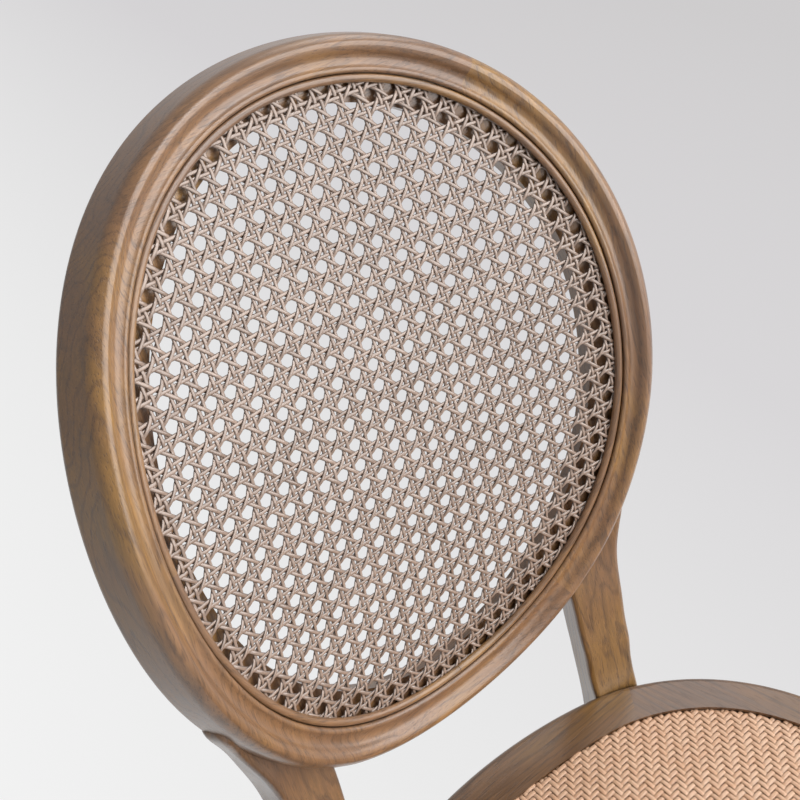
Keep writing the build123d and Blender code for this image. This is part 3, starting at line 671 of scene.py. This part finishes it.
# Partly boards that differ in tone and partly painted shade: the seat rim's and rear legs' whole colour is
# darkened by these shares
PAINTED_SHADES = {"seat_rim": 0.72, "rear_leg": 0.76}
LEANING = (0.0, sin(BACK_LEAN), cos(BACK_LEAN))
GRAIN = {
    "back_frame_top": (1, 0, 0),
    "back_frame_bottom": (1, 0, 0),
    "back_frame_left": LEANING,
    "back_frame_right": LEANING,
    "rear_leg_left": (0, 0.12, 1),
    "rear_leg_right": (0, 0.12, 1),
    "seat_rim_rear": (1, 0, 0),
    "seat_rim_front": (1, 0, 0),
    "seat_rim_left": (0.18, 1, 0),
    "seat_rim_right": (-0.18, 1, 0),
    "apron_rear": (1, 0, 0),
    "apron_front": (1, 0, 0),
    "apron_left": (0.18, 1, 0),
    "apron_right": (-0.18, 1, 0),
    "front_leg_left": (0, 0, 1),
    "front_leg_right": (0, 0, 1),
    "corner_block_front_left": (1, 1, 0),
    "corner_block_front_right": (1, -1, 0),
    "corner_block_rear_left": (1, -1, 0),
    "corner_block_rear_right": (1, 1, 0),
}


def dress(node, material):
    mesh = nodes[node].data
    mesh.materials.clear()
    mesh.materials.append(material)


def dress_nodes():
    """Every node that the scene keeps gets its material; each board is cut from another place in the wood."""
    for number, (node, grain) in enumerate(GRAIN.items()):
        shade = next((share for start, share in PAINTED_SHADES.items() if node.startswith(start)), 1.0)
        shift = (0.37 * number, 0.11 * number, 0.07 * number)
        dress(node, oak("oak_" + node, grain, shift, shade, ledge=node.startswith("back_frame")))
    dress("cane_bead", oak("oak_cane_bead"))
    steel = fine_noise_material(
        "zinc_steel", colour(150, 150, 152), colour(190, 190, 190), 700.0, 0.3, 0.0001, metallic=1.0)
    beech = fine_noise_material(
        "beech", colour(196, 160, 118), colour(214, 180, 138), 260.0, 0.6, 0.0002)
    plywood = fine_noise_material(
        "plywood", colour(176, 142, 100), colour(202, 170, 126), 120.0, 0.65, 0.0003)
    plastic = fine_noise_material(
        "glide_plastic", colour(26, 24, 23), colour(40, 38, 36), 900.0, 0.5, 0.0001)
    for node in nodes:
        if node.endswith("_dowels"):
            dress(node, beech)
        elif node.endswith(("_screws", "_bolts")):
            dress(node, steel)
        elif node.startswith("glide_"):
            dress(node, plastic)
    dress("seat_board", plywood)


# ---------------------------------------------------------------- stage

def seen_directly(tree):
    """1 for what the camera sees, straight, mirrored or through glass, and 0 for the light on things."""
    path = add(tree, "LightPath").outputs
    mirrored = sums(tree, "MAXIMUM", path["Is Camera Ray"], path["Is Glossy Ray"])
    return sums(tree, "MAXIMUM", mirrored, path["Is Transmission Ray"])


def floor():
    """A pale disc that shades off to the right, as the background does, and keeps a soft shadow."""
    reach, corners = 12.0, 64
    mesh = bpy.data.meshes.new("floor")
    turn = np.linspace(0, 2 * pi, corners, endpoint=False)
    mesh.from_pydata([(reach * cos(t), reach * sin(t), 0.0) for t in turn], [], [list(range(corners))])
    made, tree = new_material("pale_floor")
    place = add(tree, "TexCoord").outputs["Object"]
    parts = add(tree, "SeparateXYZ", {"Vector": place})
    slant = sums(tree, "ADD", parts.outputs["X"], sums(tree, "MULTIPLY", parts.outputs["Y"], -0.12))
    place = sums(tree, "MULTIPLY_ADD", slant, 1 / 3, 1 / 6)
    pale = ramp(tree, place, (0.07, colour(250, 250, 250)), (0.18, colour(243, 243, 243)),
                (0.36, colour(229, 228, 229)), (0.47, colour(221, 219, 221)), (0.83, colour(213, 211, 212)))
    plain = add(tree, "BsdfDiffuse", {"Color": colour(190, 190, 190)}).outputs[0]
    shown = add(tree, "Emission", {"Color": pale}).outputs[0]
    seen = sums(tree, "MULTIPLY", seen_directly(tree), 0.9)
    mixed = add(tree, "MixShader", {0: seen, 1: plain, 2: shown}).outputs[0]
    add(tree, "OutputMaterial", {"Surface": mixed})
    mesh.materials.append(made)
    linked("floor", mesh)


def world():
    """A pale surround where it is seen, and a weak even light on things."""
    sky = bpy.data.worlds.new("studio")
    bpy.context.scene.world = sky
    sky.use_nodes = True
    tree = sky.node_tree
    tree.nodes.clear()
    lit = add(tree, "Background", {"Color": (1.0, 1.0, 1.0, 1.0), "Strength": 0.1}).outputs[0]
    shown = add(tree, "Background", {"Color": colour(205, 204, 205), "Strength": 1.0}).outputs[0]
    seen = seen_directly(tree)
    add(tree, "OutputWorld", {"Surface": add(tree, "MixShader", {0: seen, 1: lit, 2: shown}).outputs[0]})


def soft_box(name, place, target, width, height, power):
    """A rectangular lamp at a place, turned towards a target."""
    data = bpy.data.lights.new(name, "AREA")
    data.shape = "RECTANGLE"
    data.size = width
    data.size_y = height
    data.energy = power
    lamp = bpy.data.objects.new(name, data)
    bpy.context.scene.collection.objects.link(lamp)
    lamp.location = place
    lamp.rotation_euler = (Vector(target) - Vector(place)).to_track_quat("-Z", "Y").to_euler()


def camera():
    """The photograph's viewpoint, from the fit to the photograph: place, directions, lens and framing."""
    right = Vector((0.757744, -0.644117, -0.104584))
    down = Vector((-0.416265, -0.353692, -0.837631))
    forward = Vector((0.502542, 0.678244, -0.536131))
    place = Vector((-0.3673, -0.3388, 1.2832))
    data = bpy.data.cameras.new("view")
    data.sensor_width = 36.0
    data.lens = 58.19
    data.shift_x = -0.0033
    data.shift_y = -0.1536
    seen = bpy.data.objects.new("view", data)
    bpy.context.scene.collection.objects.link(seen)
    columns = (right, -down, -forward, place)
    seen.matrix_world = Matrix([[column[row] for column in columns] for row in range(3)] + [[0, 0, 0, 1]])
    bpy.context.scene.camera = seen


camera()
floor()
world()
soft_box("main_light", (1.28, -1.67, 1.65), (0.0, 0.15, 0.75), 3.4, 2.9, 94.0)
soft_box("top_light", (0.71, -0.69, 2.65), (0.0, 0.1, 0.6), 0.7, 0.7, 10.0)
soft_box("rear_light", (1.7, 1.2, 2.5), (0.0, 0.1, 0.6), 1.0, 1.0, 8.0)
bpy.context.scene.view_settings.view_transform = "Standard"

dress_nodes()
cane_back()
woven_seat()
seat_padding()

bpy.context.view_layer.update()
